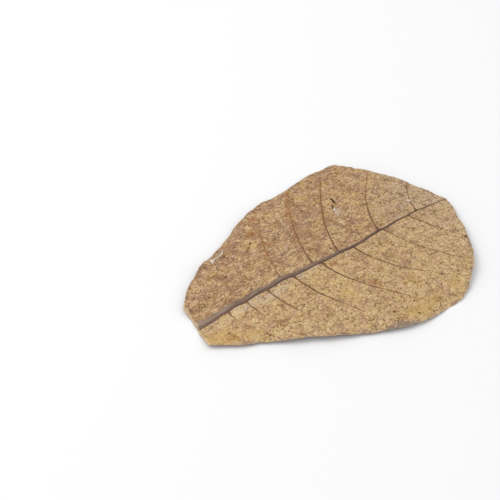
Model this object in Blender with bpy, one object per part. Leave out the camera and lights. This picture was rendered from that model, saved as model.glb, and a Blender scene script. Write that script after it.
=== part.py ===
"""One dried Indian almond leaf, trimmed at its base, lying with its ribbed underside up.

The leaf is one grown piece: a thin obovate blade, the midrib that stands up from it, and the side
veins that leave the midrib on both sides and bend forward to the margin. It is drawn with its cut
base at X = 0 and its tip at LEAF_LENGTH, and then moved so that the middle of its box is over the
origin. +X runs from base to tip and +Z is up. At Z = 0 it stands on a small flat spot under the
midrib and on one low point of each margin.

The blade is measured by two numbers. `along` runs from 0 at the cut base to 1 at the tip. `out`
runs from 0 on the midrib to 1 at the margin. A line of constant `along` is the path of a side vein.
"""

import bpy
import numpy as np

MM = 0.001

LEAF_LENGTH = 170.0 * MM
BLADE_THICKNESS = 0.7 * MM

# The margin on each side, from the cut corner to the tip: distance from the base, and from the
# leaf's long axis. The far side is +Y and the near side is -Y.
MARGIN_FAR = ((0.5, 13), (7, 20.5), (21, 31), (42, 40.5), (60, 49.5), (78, 56), (98, 58), (119, 61.5),
              (133.5, 60.8), (142, 51.5), (149.5, 39), (161, 24.5), (166.5, 9), (170, -1))
MARGIN_NEAR = ((-2.5, 15), (3, 19), (30, 33.5), (57, 48.5), (78, 58.5), (96, 64.5), (116, 64.5),
               (132, 61), (145, 52), (158, 34.5), (165, 18), (168.7, 7), (170, 1))
# The midrib's gentle bow: distance from the base and place beside the long axis.
MIDRIB_BOW = ((0, -0.5), (25, -1.2), (50, -2.7), (72, -4.4), (94, -5.4), (118, -3.3), (140, -1.4),
              (170, -1))

# Each side vein: where it leaves the midrib, and where on the margin it ends, both as distances
# from the base along the leaf.
VEINS_FAR = ((11, 17), (24, 33), (39, 53), (52.7, 75), (72.3, 101), (89, 127), (118.2, 147.5),
             (147.2, 161.3))
VEINS_NEAR = ((18, 27), (29.2, 45), (42.5, 67), (58.5, 93), (76, 119), (98.2, 141), (121, 149.5),
              (140.5, 159.5))
# Degrees from the long axis at which veins leave the midrib, at the cut base and at the tip.
VEINS_LEAVE_AT_FAR = (86, 78)
VEINS_LEAVE_AT_NEAR = (95, 73)
VEIN_REACH = 0.42  # share of a vein's length that it keeps that direction
VEIN_HEIGHT = (0.6 * MM, 0.2 * MM)  # at the midrib and at the margin
VEIN_FOOT = (1.1 * MM, 0.6 * MM)  # half its width there
# The lines of the blade run straight from midrib to margin at the cut base and at the tip, and
# they take on the veins' bend over these shares of the leaf.
BEND_GROWS_OVER = 0.12
BEND_FADES_OVER = 0.10

# The midrib's half width and height over the blade, at the cut base and at the tip.
RIB_HALF_WIDTH = (2.6 * MM, 0.3 * MM)
RIB_HEIGHT = (1.5 * MM, 0.3 * MM)
RIB_TAPER = 1.15  # power of `along`: over 1, the midrib keeps its width for longer
RIB_PROFILE = ((0.0, 1.0), (0.5, 0.86), (0.86, 0.46), (1.2, 0.0))  # share of half width, of height
RIB_MOST_OUT = 0.4  # the most of a half that the midrib may take, where the halves end in the tip

# Heights of the blade's middle layer over the surface that it lies on, against distance from base.
CREST_HEIGHTS = ((0, 1.4), (22, 3.6), (52, 7.2), (85, 8.6), (110, 7.8), (140, 6.2), (170, 3.0))
EDGE_HEIGHTS_FAR = ((-3, 2.6), (20, 3.8), (45, 2.6), (66, 3.6), (92, 2.2), (118, 1.4), (136, 2.6),
                    (148, 4.4), (160, 3.2), (170, 3.0))
EDGE_HEIGHTS_NEAR = ((-3, 2.4), (20, 1.8), (45, 3.2), (70, 2.2), (92, 2.4), (117, 1.2), (134, 1.8),
                     (150, 4.0), (162, 3.4), (170, 3.0))
FALL_POWER = 1.9  # power of `out`: how late the blade falls from crest to edge
SAG_BETWEEN_VEINS = 0.4 * MM
SAG_SPREAD = 0.7  # under 1, the sag reaches close to midrib and margin
RIPPLE = 0.3 * MM
RIPPLE_LENGTHS = (31 * MM, 43 * MM)
LEAST_GAP = 0.15 * MM  # what the blade keeps from the surface, away from its spots

# The leaf stands on a small flat spot under the midrib's cut end, and on the margin where one side
# vein of each half ends. One low point there, and no flat, keeps the leaf from rocking.
FLAT_SPOT = (3.6, -0.6)
FLAT_RADIUS = 3.75 * MM
LOW_VEIN_FAR = 5  # counted from the base, where the first vein is 0
LOW_VEIN_NEAR = 4
SPOT_LEAD = 10 * MM  # width of the slope that leads back to the blade's own height

# How finely the solid is divided.
LAST_ROW = 0.985  # the rows end here, and the tip is one point
ROW_GAP = 4.6 * MM
COLUMNS_PER_SIDE = 12
PATH_SAMPLES = 400
BESIDE_RIB = 0.02  # the value of `out` at which a vein's rows are spaced on the midrib
SMALL_STEP = 1e-4  # for measuring how fast a point moves with `along` and `out`

LEAF_COLOUR = (0.50, 0.33, 0.15, 1.0)
LEAF_ROUGHNESS = 0.75
SHARP_ANGLE = 40.0  # degrees between faces that are shaded as an edge


def smooth_path(points):
    """The points of a smooth curve through these points, in metres, evenly fine along it."""
    knots = np.array(points, float) * MM
    steps = np.linalg.norm(np.diff(knots, axis=0), axis=1)
    at = np.concatenate([[0], np.cumsum(steps)])
    slopes = np.gradient(knots, at, axis=0)
    wanted = np.linspace(0, at[-1], PATH_SAMPLES)
    i = np.clip(np.searchsorted(at, wanted, side="right") - 1, 0, len(steps) - 1)
    h = steps[i][:, None]
    t = (wanted - at[i])[:, None] / h
    return (
        (2 * t**3 - 3 * t**2 + 1) * knots[i]
        + (t**3 - 2 * t**2 + t) * h * slopes[i]
        + (3 * t**2 - 2 * t**3) * knots[i + 1]
        + (t**3 - t**2) * h * slopes[i + 1]
    )


def read_path(path, share):
    """The points at these shares of the path's samples, 0 at its start and 1 at its end."""
    at = np.linspace(0, 1, len(path))
    return np.stack([np.interp(share, at, path[:, k]) for k in range(path.shape[1])], axis=-1)


def share_at(path, x):
    """The share of the path at which its first value reaches x."""
    rising = np.maximum.accumulate(path[:, 0])
    return np.interp(x, rising, np.linspace(0, 1, len(path)))


def ease(t):
    """0 up to t = 0, 1 from t = 1 on, and a smooth rise between."""
    t = np.clip(t, 0, 1)
    return t * t * (3 - 2 * t)


def between(pair, share):
    """The value at this share of the way from the first of the pair to the second."""
    return pair[0] + (pair[1] - pair[0]) * share


MIDRIB = smooth_path(MIDRIB_BOW)
CREST = smooth_path(CREST_HEIGHTS)


class Side:
    """One half of the blade: its margin, its veins, and the curves that fill the space between."""

    def __init__(self, sign, margin, veins, leave_at, edge_heights):
        self.sign = sign
        self.leave_at = np.radians(leave_at)
        self.margin = smooth_path(margin) * (1, sign)
        self.edge_heights = smooth_path(edge_heights)
        starts = share_at(MIDRIB, np.array([start for start, _ in veins]) * MM)
        ends = share_at(self.margin, np.array([end for _, end in veins]) * MM)
        self.veins = starts
        self.vein_map = smooth_path(
            np.stack([np.r_[0, starts, 1], np.r_[0, ends, 1]], axis=1) / MM
        )

    def ends(self, along):
        """Where the curves at `along` leave the midrib, and where they meet the margin."""
        share = np.interp(along, self.vein_map[:, 0], self.vein_map[:, 1])
        return read_path(MIDRIB, along), read_path(self.margin, share)

    def place(self, along, out):
        """The plan point at `along` and `out`: a bent line from midrib to margin."""
        along, out = np.broadcast_arrays(np.asarray(along, float), np.asarray(out, float))
        start, end = self.ends(along)
        chord = end - start
        length = np.linalg.norm(chord, axis=-1, keepdims=True)
        lean = between(self.leave_at, along)
        square = np.stack([np.cos(lean), self.sign * np.sin(lean)], axis=-1)
        bent = ease(along / BEND_GROWS_OVER) * ease((1 - along) / BEND_FADES_OVER)
        way = chord / length * (1 - bent[..., None]) + square * bent[..., None]
        way /= np.linalg.norm(way, axis=-1, keepdims=True)
        knee = start + way * length * VEIN_REACH
        t = out[..., None]
        return (1 - t) ** 2 * start + 2 * t * (1 - t) * knee + t**2 * end

    def length(self, along):
        """The straight length of the curve at `along`."""
        start, end = self.ends(along)
        return np.linalg.norm(end - start, axis=-1)

    def vein_gap(self, along, out, width):
        """How far `along` moves for this width square to the curve."""
        point = self.place(along, out)
        forward = (self.place(along + SMALL_STEP, out) - point) / SMALL_STEP
        further = self.place(along, np.minimum(out + SMALL_STEP, 1))
        nearer = self.place(along, np.maximum(out - SMALL_STEP, 0))
        outward = further - nearer
        outward /= np.linalg.norm(outward, axis=-1, keepdims=True)
        square = forward[..., 0] * outward[..., 1] - forward[..., 1] * outward[..., 0]
        return width / np.abs(square)

    def edge_height(self, along):
        """Height of the blade's middle layer at the margin, where the curve at `along` ends."""
        margin_x = self.ends(along)[1][..., 0]
        return np.interp(margin_x, self.edge_heights[:, 0], self.edge_heights[:, 1])


FAR = Side(+1, MARGIN_FAR, VEINS_FAR, VEINS_LEAVE_AT_FAR, EDGE_HEIGHTS_FAR)
NEAR = Side(-1, MARGIN_NEAR, VEINS_NEAR, VEINS_LEAVE_AT_NEAR, EDGE_HEIGHTS_NEAR)


def rib_half_width(along):
    return between(RIB_HALF_WIDTH, along**RIB_TAPER)


def rib_height(along):
    return between(RIB_HEIGHT, along**RIB_TAPER)


def rest_spots():
    """The plan point and the flat radius of each spot that the leaf stands on."""
    return (
        (np.array(FLAT_SPOT) * MM, FLAT_RADIUS),
        (FAR.place(FAR.veins[LOW_VEIN_FAR], 1), 0.0),
        (NEAR.place(NEAR.veins[LOW_VEIN_NEAR], 1), 0.0),
    )


def rest_weight(point):
    """1 on a spot that the leaf stands on, 0 away from it."""
    weight = np.zeros(point.shape[:-1])
    for centre, radius in rest_spots():
        away = np.linalg.norm(point - centre, axis=-1)
        weight = np.maximum(weight, 1 - ease((away - radius) / SPOT_LEAD))
    return weight


def underside(side, along, out, sag):
    """Height of the blade's lower face. `sag` is 0 on a vein and 1 midway between two."""
    point = side.place(along, out)
    crest = np.interp(point[..., 0], CREST[:, 0], CREST[:, 1])
    height = crest + (side.edge_height(along) - crest) * out**FALL_POWER
    height -= SAG_BETWEEN_VEINS * sag * np.sin(np.pi * np.clip(out, 0, 1)) ** SAG_SPREAD
    long, short = RIPPLE_LENGTHS
    height += RIPPLE * np.sin(2 * np.pi * point[..., 0] / long) * np.sin(2 * np.pi * point[..., 1] / short)
    free = np.maximum(height - BLADE_THICKNESS / 2, LEAST_GAP)
    return free * (1 - rest_weight(point))


def row_starts():
    """Where the rows of the solid cross the midrib: three for each vein, and others to fill."""
    marks = [0.0, LAST_ROW]
    for side in (FAR, NEAR):
        for vein in side.veins:
            gap = side.vein_gap(vein, np.array(BESIDE_RIB), VEIN_FOOT[0])
            marks += [vein - gap, vein, vein + gap]
    marks = sorted(marks)
    starts = []
    for low, high in zip(marks, marks[1:]):
        count = max(1, round((high - low) * LEAF_LENGTH / ROW_GAP))
        starts += list(np.linspace(low, high, count, endpoint=False))
    return np.array(starts + [marks[-1]])


def side_grid(side, starts):
    """Rows and columns of one half: `along`, `out`, ridge height and sag at every crossing."""
    spread = np.linspace(0, 1, COLUMNS_PER_SIDE + 1)[1:]
    rib_columns = len(RIB_PROFILE)
    rough_out = np.r_[np.zeros(rib_columns), spread]
    # A row that belongs to a vein keeps to its crest or its foot. The others share the space.
    rows, tables = [0.0], [np.zeros(len(rough_out))]
    for vein in side.veins:
        gap_at_rib = side.vein_gap(vein, np.array(BESIDE_RIB), VEIN_FOOT[0])
        foot = side.vein_gap(vein, rough_out, between(VEIN_FOOT, rough_out))
        foot[:rib_columns] = gap_at_rib
        rows += [vein - gap_at_rib, vein, vein + gap_at_rib]
        tables += [vein - foot, np.full(len(rough_out), vein), vein + foot]
    rows.append(LAST_ROW)
    tables.append(np.full(len(rough_out), LAST_ROW))
    tables = np.array(tables)
    along = np.stack(
        [np.interp(starts, rows, tables[:, c]) for c in range(len(rough_out))], axis=1
    )

    length = side.length(along[:, 0])[:, None]
    rib_share = np.array([share for share, _ in RIB_PROFILE])
    rib_out = rib_share * rib_half_width(along[:, :1]) / length
    rib_out = np.minimum(rib_out, rib_share / rib_share[-1] * RIB_MOST_OUT)
    foot_out = rib_out[:, -1:]
    out = np.concatenate([rib_out, foot_out + (1 - foot_out) * spread], axis=1)

    marks = np.concatenate([[0], side.veins, [1]])
    slot = np.clip(np.searchsorted(marks, along, side="right") - 1, 0, len(marks) - 2)
    share = (along - marks[slot]) / (marks[slot + 1] - marks[slot])
    sag = np.sin(np.pi * share)

    ridge = np.zeros_like(out)
    for vein in side.veins:
        on_crest = np.isclose(along[:, -1], vein)
        ridge[on_crest] = between(VEIN_HEIGHT, out[on_crest])
    # Inside the midrib a vein runs up to its crest, which the vein doesn't raise.
    profile = np.array([height for _, height in RIB_PROFILE])
    rib_ridge = profile * rib_height(along[:, :rib_columns])
    ridge[:, :rib_columns] = np.maximum(rib_ridge, ridge[:, :rib_columns] * (profile < 1))
    return along, out, ridge, sag


def blade_faces(starts):
    """Lower and upper points of the whole blade, as rows from base to tip across both halves."""
    halves = []
    for side in (NEAR, FAR):
        along, out, ridge, sag = side_grid(side, starts)
        plan = side.place(along, out)
        low = underside(side, along, out, sag)
        halves.append((plan, low, low + BLADE_THICKNESS + ridge))
    (near_plan, near_low, near_high), (far_plan, far_low, far_high) = halves
    plan = np.concatenate([near_plan[:, :0:-1], far_plan], axis=1)
    low = np.concatenate([near_low[:, :0:-1], far_low], axis=1)
    high = np.concatenate([near_high[:, :0:-1], far_high], axis=1)
    return np.dstack([plan, low]), np.dstack([plan, high])


def tip_points():
    """The lower and the upper point of the tip, where both halves and the midrib end."""
    plan = MIDRIB[-1]
    low = CREST[-1, 1] - BLADE_THICKNESS / 2
    return np.r_[plan, low], np.r_[plan, low + BLADE_THICKNESS + RIB_HEIGHT[1]]


def closed_mesh(lower, upper, low_tip, high_tip):
    """Points and triangles of the closed blade, split alike on both faces."""
    rows, columns = lower.shape[:2]
    sheet = rows * columns + 1
    points = np.concatenate([lower.reshape(-1, 3), [low_tip], upper.reshape(-1, 3), [high_tip]])
    index = np.arange(rows * columns).reshape(rows, columns)
    tip = rows * columns
    top = []
    for r in range(rows - 1):
        for c in range(columns - 1):
            a, b, d, e = index[r, c], index[r + 1, c], index[r + 1, c + 1], index[r, c + 1]
            if c < columns // 2:
                top += [(a, b, e), (b, d, e)]
            else:
                top += [(a, b, d), (a, d, e)]
    top += [(index[-1, c], tip, index[-1, c + 1]) for c in range(columns - 1)]
    rim = [*index[0, ::-1], *index[1:, 0], tip, *index[:0:-1, -1]]
    faces = [(a + sheet, b + sheet, c + sheet) for a, b, c in top]
    faces += [(c, b, a) for a, b, c in top]
    for a, b in zip(rim, rim[1:] + rim[:1]):
        faces += [(a, b, b + sheet), (a, b + sheet, a + sheet)]
    return points, faces


def leaf_material():
    """The dry blade's plain finish."""
    material = bpy.data.materials.new("dry_leaf")
    material.use_nodes = True
    shader = material.node_tree.nodes["Principled BSDF"]
    shader.inputs["Base Color"].default_value = LEAF_COLOUR
    shader.inputs["Roughness"].default_value = LEAF_ROUGHNESS
    shader.inputs["Metallic"].default_value = 0.0
    return material


def make_leaf():
    """The leaf as one closed object, centred over the origin and standing at Z = 0."""
    lower, upper = blade_faces(row_starts())
    points, faces = closed_mesh(lower, upper, *tip_points())
    centre = (points.min(axis=0) + points.max(axis=0)) / 2
    points = points - (centre[0], centre[1], 0)
    mesh = bpy.data.meshes.new("leaf")
    mesh.from_pydata([tuple(p) for p in points], [], [tuple(map(int, f)) for f in faces])
    mesh.shade_smooth()
    mesh.set_sharp_from_angle(angle=np.radians(SHARP_ANGLE))
    mesh.materials.append(leaf_material())
    leaf = bpy.data.objects.new("leaf", mesh)
    bpy.context.scene.collection.objects.link(leaf)
    return leaf


def main():
    for old in list(bpy.data.objects):
        bpy.data.objects.remove(old)
    make_leaf()


main()
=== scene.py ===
"""A dried Indian almond leaf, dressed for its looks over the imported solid.

The leaf lies with its ribbed underside up, trimmed straight across its base. It is one grown piece,
so one fine mesh stands in for the plain solid: the same blade, midrib and side veins, on a grid
fine enough for wrinkles, grooves, nicks and a thin ragged margin. Two slits are cut through it, and
a few shreds of its dry skin lie on it. A plain floor, soft light and the photograph's camera finish
the scene.

The blade is measured by two numbers. `along` runs from 0 at the cut base to 1 at the tip. `out`
runs from 0 on the midrib to 1 at the margin. A line of constant `along` is the path of a side vein.
Pairs on the leaf are given in millimetres in its own plan: x from the cut base to the tip, y from
the leaf's long axis, towards the far half.
"""

import logging
import math
from dataclasses import dataclass, field
from enum import Enum
from typing import Any

import bpy
import numpy as np
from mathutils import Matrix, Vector, noise
from mathutils.bvhtree import BVHTree
from mathutils.kdtree import KDTree


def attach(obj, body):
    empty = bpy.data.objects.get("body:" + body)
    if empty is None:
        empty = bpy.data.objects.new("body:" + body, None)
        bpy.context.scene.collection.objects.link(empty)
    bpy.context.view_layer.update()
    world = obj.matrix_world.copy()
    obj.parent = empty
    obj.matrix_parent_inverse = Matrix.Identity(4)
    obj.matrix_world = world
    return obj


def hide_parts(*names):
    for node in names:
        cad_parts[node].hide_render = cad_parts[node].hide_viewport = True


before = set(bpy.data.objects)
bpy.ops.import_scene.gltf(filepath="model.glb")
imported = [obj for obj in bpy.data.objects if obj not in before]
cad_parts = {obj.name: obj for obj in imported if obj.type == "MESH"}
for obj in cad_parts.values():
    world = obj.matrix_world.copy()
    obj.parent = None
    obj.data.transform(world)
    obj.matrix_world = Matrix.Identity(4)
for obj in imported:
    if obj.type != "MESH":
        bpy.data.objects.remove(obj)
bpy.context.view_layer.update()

Array = np.ndarray
Piece = bpy.types.Object
Pair = tuple[float, float]
Pairs = tuple[Pair, ...]
Colour = tuple[float, float, float]
Layers = tuple[tuple[float, float, float], ...]  # height, bump size in millimetres, and seed

MM = 0.001
NODE = "leaf"
BODY = "root"
LEAF_LENGTH = 170.0  # millimetres from cut base to tip
PLAN_SHIFT = np.array([83.75, -1.600321]) * MM  # from the leaf's own plan to the model's

log = logging.getLogger("leaf")


def ease(t: Any) -> Any:
    """0 up to t = 0, 1 from t = 1 on, and a smooth rise between."""
    t = np.clip(t, 0, 1)
    return t * t * (3 - 2 * t)


def bell(distance: Any, width: float) -> Any:
    """1 at no distance, and a smooth fall to nothing over about twice the width."""
    return np.exp(-((distance / width) ** 2))


def between(pair: Pair, share: Any) -> Any:
    """The value at this share of the way from the first of the pair to the second."""
    return pair[0] + (pair[1] - pair[0]) * share


def paired(x: Array, y: Array) -> Array:
    """Plan points, or others with two values each, from their two arrays."""
    return np.stack([x, y], axis=-1)


def rough(points: Array, size: float, seed: float) -> Array:
    """Smooth seeded noise over plan points.

    Args:
        points: plan points in metres, the last axis being x and y.
        size: size of one bump in metres.
        seed: shifts the pattern, so that two calls give unlike ones.

    Returns:
        Values from about -1 to 1, one for each point.
    """
    flat = points.reshape(-1, 2) / size
    values = [noise.noise(Vector((x, y, seed))) for x, y in flat]
    return np.array(values).reshape(points.shape[:-1])


def bumps(points: Array, layers: Layers) -> Array:
    """Several sizes of noise over plan points, added up."""
    return sum(height * rough(points, size * MM, seed) for height, size, seed in layers)


class Path:
    """A smooth curve through given points, in metres, read by the share of its length."""

    SAMPLES = 400

    def __init__(self, points: Pairs) -> None:
        """Take the points in millimetres and sample the curve evenly."""
        knots = np.array(points, float) * MM
        steps = np.linalg.norm(np.diff(knots, axis=0), axis=1)
        at = np.concatenate([[0], np.cumsum(steps)])
        slopes = np.gradient(knots, at, axis=0)
        wanted = np.linspace(0, at[-1], self.SAMPLES)
        i = np.clip(np.searchsorted(at, wanted, side="right") - 1, 0, len(steps) - 1)
        h = steps[i][:, None]
        t = (wanted - at[i])[:, None] / h
        self.length = float(at[-1])
        self.points = (
            (2 * t**3 - 3 * t**2 + 1) * knots[i]
            + (t**3 - 2 * t**2 + t) * h * slopes[i]
            + (3 * t**2 - 2 * t**3) * knots[i + 1]
            + (t**3 - t**2) * h * slopes[i + 1]
        )

    def read(self, share: Any) -> Array:
        """The points at these shares of the curve, 0 at its start and 1 at its end."""
        at = np.linspace(0, 1, self.SAMPLES)
        return paired(*(np.interp(share, at, self.points[:, k]) for k in (0, 1)))

    def share_at(self, x: Any) -> Array:
        """The share of the curve at which its first value reaches x."""
        rising = np.maximum.accumulate(self.points[:, 0])
        return np.interp(x, rising, np.linspace(0, 1, self.SAMPLES))

    def height_at(self, x: Any) -> Array:
        """The second value where the first is x."""
        return np.interp(x, self.points[:, 0], self.points[:, 1])


MIDRIB = Path(
    ((0, -0.5), (25, -1.2), (50, -2.7), (72, -4.4), (94, -5.4), (118, -3.3), (140, -1.4), (170, -1))
)
CREST = Path(((0, 1.4), (22, 3.6), (52, 7.2), (85, 8.6), (110, 7.8), (140, 6.2), (170, 3.0)))


@dataclass(frozen=True)
class Vein:
    """One side vein of a half.

    Attributes:
        leaves: where it leaves the midrib, in millimetres from the cut base.
        ends: where it meets the margin, in millimetres from the cut base.
        dark: how dark its line is beside the midrib, 0 to 1.
        reach: share of its length over which the line fades.
        halo: how strongly rust has spread beside it, 0 to 1.
        bow: how far its middle lies towards the tip of its plain curve, in millimetres.
    """

    leaves: float
    ends: float
    dark: float
    reach: float
    halo: float = 0.0
    bow: float = 0.0


@dataclass(frozen=True)
class Nick:
    """A small bite out of the margin: where it is, how wide and how deep, in millimetres."""

    at: float
    width: float
    depth: float


@dataclass
class Half:
    """One half of the blade: its margin, its veins, and the curves that fill the space between.

    Attributes:
        sign: +1 on the far half, -1 on the near half.
        outline: the margin, x and distance from the long axis, in millimetres.
        veins: the side veins from base to tip.
        leave_at: degrees from the long axis at which veins leave the midrib, at base and tip.
        edge_heights: height of the margin over the surface, against x, in millimetres.
        nicks: bites out of the margin, placed by x.
        reach: how far out the knee of a vein's bend lies, as a share of its length.
        bend_grows_over, bend_fades_over: shares of the leaf, at base and tip, over which its veins
            go from straight to bent.
    """

    sign: int
    outline: Pairs
    veins: tuple[Vein, ...]
    leave_at: Pair
    edge_heights: Pairs
    nicks: tuple[Nick, ...]
    reach: float = 0.42
    bend_grows_over: float = 0.12
    bend_fades_over: float = 0.10
    margin: Path = field(init=False)
    edge: Path = field(init=False)
    starts: Array = field(init=False)
    vein_map: Path = field(init=False)

    STEP = 1e-4
    BOW_SCALE = 6.75  # makes the largest value of out² (1 - out) into 1

    def __post_init__(self) -> None:
        """Draw the curves that the sizes above describe."""
        self.margin = Path(tuple((x, self.sign * y) for x, y in self.outline))
        self.edge = Path(self.edge_heights)
        self.starts = MIDRIB.share_at(np.array([vein.leaves for vein in self.veins]) * MM)
        ends = self.margin.share_at(np.array([vein.ends for vein in self.veins]) * MM)
        shares = zip(np.r_[0, self.starts, 1] / MM, np.r_[0, ends, 1] / MM)
        self.vein_map = Path(tuple(shares))

    def margin_share(self, along: Any) -> Array:
        """The share of the margin at which the curve at `along` ends."""
        return self.vein_map.height_at(along)

    def ends(self, along: Any) -> tuple[Array, Array]:
        """Where the curves at `along` leave the midrib, and where they meet the margin."""
        return MIDRIB.read(along), self.margin.read(self.margin_share(along))

    def length(self, along: Any) -> Array:
        """The straight length of the curve at `along`."""
        start, end = self.ends(along)
        return np.linalg.norm(end - start, axis=-1)

    def place(self, along: Any, out: Any) -> Array:
        """The plan point at `along` and `out`, on a bent line from midrib to margin."""
        along, out = np.broadcast_arrays(np.asarray(along, float), np.asarray(out, float))
        start, end = self.ends(along)
        chord = end - start
        length = np.linalg.norm(chord, axis=-1, keepdims=True)
        lean = np.radians(between(self.leave_at, along))
        square = paired(np.cos(lean), self.sign * np.sin(lean))
        bent = ease(along / self.bend_grows_over) * ease((1 - along) / self.bend_fades_over)
        way = chord / length * (1 - bent[..., None]) + square * bent[..., None]
        way /= np.linalg.norm(way, axis=-1, keepdims=True)
        knee = start + way * length * self.reach
        t = out[..., None]
        return (1 - t) ** 2 * start + 2 * t * (1 - t) * knee + t**2 * end

    def outward(self, along: Any, out: Any) -> Array:
        """The direction in plan in which the curve runs on, of length 1."""
        further = self.place(along, np.minimum(out + self.STEP, 1))
        nearer = self.place(along, np.maximum(out - self.STEP, 0))
        way = further - nearer
        return way / np.linalg.norm(way, axis=-1, keepdims=True)

    def vein_gap(self, along: Any, out: Any, width: Any) -> Array:
        """How far `along` moves for this width square to the curve."""
        forward = (self.place(along + self.STEP, out) - self.place(along, out)) / self.STEP
        way = self.outward(along, out)
        square = forward[..., 0] * way[..., 1] - forward[..., 1] * way[..., 0]
        return width / np.maximum(np.abs(square), self.STEP)

    def bowed(self, along: Array, out: Array) -> Array:
        """How far a point lies towards the tip of the plain curve at `along`, in metres."""
        bows = np.interp(along, np.r_[0, self.starts, 1], [0, *(vein.bow for vein in self.veins), 0])
        return bows * MM * self.BOW_SCALE * out**2 * (1 - out)

    def between_veins(self, along: Array) -> Array:
        """0 on a vein, 1 midway between two, as a smooth arch."""
        marks = np.concatenate([[0], self.starts, [1]])
        slot = np.clip(np.searchsorted(marks, along, side="right") - 1, 0, len(marks) - 2)
        return np.sin(np.pi * (along - marks[slot]) / (marks[slot + 1] - marks[slot]))


FAR = Half(
    sign=+1,
    outline=(
        (0.5, 13), (7, 20.5), (21, 31), (42, 40.5), (60, 49.5), (78, 56), (98, 58), (119, 61.5),
        (133.5, 60.8), (142, 51.5), (149.5, 39), (161, 24.5), (166.5, 9), (170, -1),
    ),
    veins=(
        Vein(11, 17, 0.08, 0.3), Vein(24, 33, 0.16, 0.4), Vein(39, 53, 0.42, 0.55, 0.1),
        Vein(52.7, 75, 0.55, 0.9, 0.75), Vein(72.3, 101, 0.85, 0.9, 0.9, -0.5),
        Vein(89, 127, 0.95, 1.0, 0.65, 1.7), Vein(118.2, 147.5, 0.95, 1.15, 0.35),
        Vein(147.2, 161.3, 0.85, 1.3, 0.15),
    ),
    leave_at=(86, 78),
    edge_heights=(
        (-3, 2.6), (20, 3.8), (45, 2.6), (66, 3.6), (92, 2.2), (118, 1.4), (136, 2.6), (148, 4.4),
        (160, 3.2), (170, 3.0),
    ),
    nicks=(
        Nick(143.6, 1.5, 1.0), Nick(147.3, 1.6, -1.0), Nick(164, 3.5, 0.9), Nick(88, 1.4, 0.5),
        Nick(64, 1.8, 0.5), Nick(30, 1.5, 0.6),
    ),
)
NEAR = Half(
    sign=-1,
    outline=(
        (-2.5, 15), (3, 19), (30, 33.5), (57, 48.5), (78, 58.5), (96, 64.5), (116, 64.5), (132, 61),
        (145, 52), (158, 34.5), (165, 18), (168.7, 7), (170, 1),
    ),
    veins=(
        Vein(18, 27, 0.75, 0.4), Vein(29.2, 45, 0.75, 0.42), Vein(42.5, 67, 0.8, 0.62),
        Vein(58.5, 93, 1.0, 0.7, 0.1, 0.6), Vein(76, 119, 0.95, 0.95, 0.25, 3.2),
        Vein(98.2, 141, 0.95, 0.95, 0.1, 1.6), Vein(121, 149.5, 0.75, 1.4, 0.15),
        Vein(140.5, 159.5, 0.85, 1.0, 0.15, 0.6),
    ),
    leave_at=(95, 73),
    edge_heights=(
        (-3, 2.4), (20, 1.8), (45, 3.2), (70, 2.2), (92, 2.4), (117, 1.2), (134, 1.8), (150, 4.0),
        (162, 3.4), (170, 3.0),
    ),
    nicks=(
        Nick(8, 1.2, 0.4), Nick(21, 1.2, 0.5), Nick(37, 1.0, 0.4), Nick(51, 0.9, 0.5),
        Nick(56, 1.2, 0.5), Nick(63.5, 0.9, 0.35), Nick(68, 1.3, 0.6), Nick(74, 1.0, 0.4),
        Nick(78, 1.5, 0.7), Nick(84, 0.9, 0.35), Nick(107, 1.2, 0.4), Nick(139, 1.2, 0.4),
    ),
)


@dataclass
class Form:
    """The blade's heights over the surface that it lies on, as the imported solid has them."""

    rib_half_width: Pair = (2.6 * MM, 0.3 * MM)
    rib_height: Pair = (1.5 * MM, 0.3 * MM)
    rib_taper: float = 1.15  # power of `along`: over 1, the midrib keeps its width for longer
    rib_most_out: float = 0.4  # the most of a half that it may take
    solid_thickness: float = 0.7 * MM
    fall_power: float = 1.9  # power of `out`: how late the blade falls to its margin
    sag: float = 0.4 * MM
    sag_spread: float = 0.7  # under 1, the sag reaches close to midrib and margin
    ripple: float = 0.3 * MM
    ripple_lengths: Pair = (31 * MM, 43 * MM)
    least_gap: float = 0.15 * MM
    flat_spot: Pair = (3.6 * MM, -0.6 * MM)
    flat_radius: float = 3.75 * MM
    low_vein_far: int = 5  # where it ends the margin stands on the surface, counted from 0
    low_vein_near: int = 4
    spot_lead: float = 10 * MM  # width of the slope that leads back to the blade's own height

    def half_width(self, along: Any) -> Any:
        """Half the midrib's width."""
        return between(self.rib_half_width, along**self.rib_taper)

    def rib(self, along: Any) -> Any:
        """The midrib's height over the blade."""
        return between(self.rib_height, along**self.rib_taper)

    def rest(self, point: Array) -> Array:
        """1 where the leaf stands on the surface, 0 away from it."""
        spots = (
            (np.array(self.flat_spot), self.flat_radius),
            (FAR.place(FAR.starts[self.low_vein_far], 1), 0.0),
            (NEAR.place(NEAR.starts[self.low_vein_near], 1), 0.0),
        )
        weight = np.zeros(point.shape[:-1])
        for centre, radius in spots:
            away = np.linalg.norm(point - centre, axis=-1)
            weight = np.maximum(weight, 1 - ease((away - radius) / self.spot_lead))
        return weight

    def underside(self, half: Half, along: Array, out: Array) -> Array:
        """Height of the blade's lower face.

        Args:
            half: the half that the points are on.
            along: their values of `along`.
            out: their values of `out`.

        Returns:
            Heights in metres, one for each point.
        """
        point = half.place(along, out)
        crest = CREST.height_at(point[..., 0])
        edge = half.edge.height_at(half.ends(along)[1][..., 0])
        height = crest + (edge - crest) * out**self.fall_power
        arch = np.sin(np.pi * np.clip(out, 0, 1)) ** self.sag_spread
        height -= self.sag * half.between_veins(along) * arch
        waves = [np.sin(2 * np.pi * point[..., k] / self.ripple_lengths[k]) for k in (0, 1)]
        height += self.ripple * waves[0] * waves[1]
        free = np.maximum(height - self.solid_thickness / 2, self.least_gap)
        return free * (1 - self.rest(point))


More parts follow.
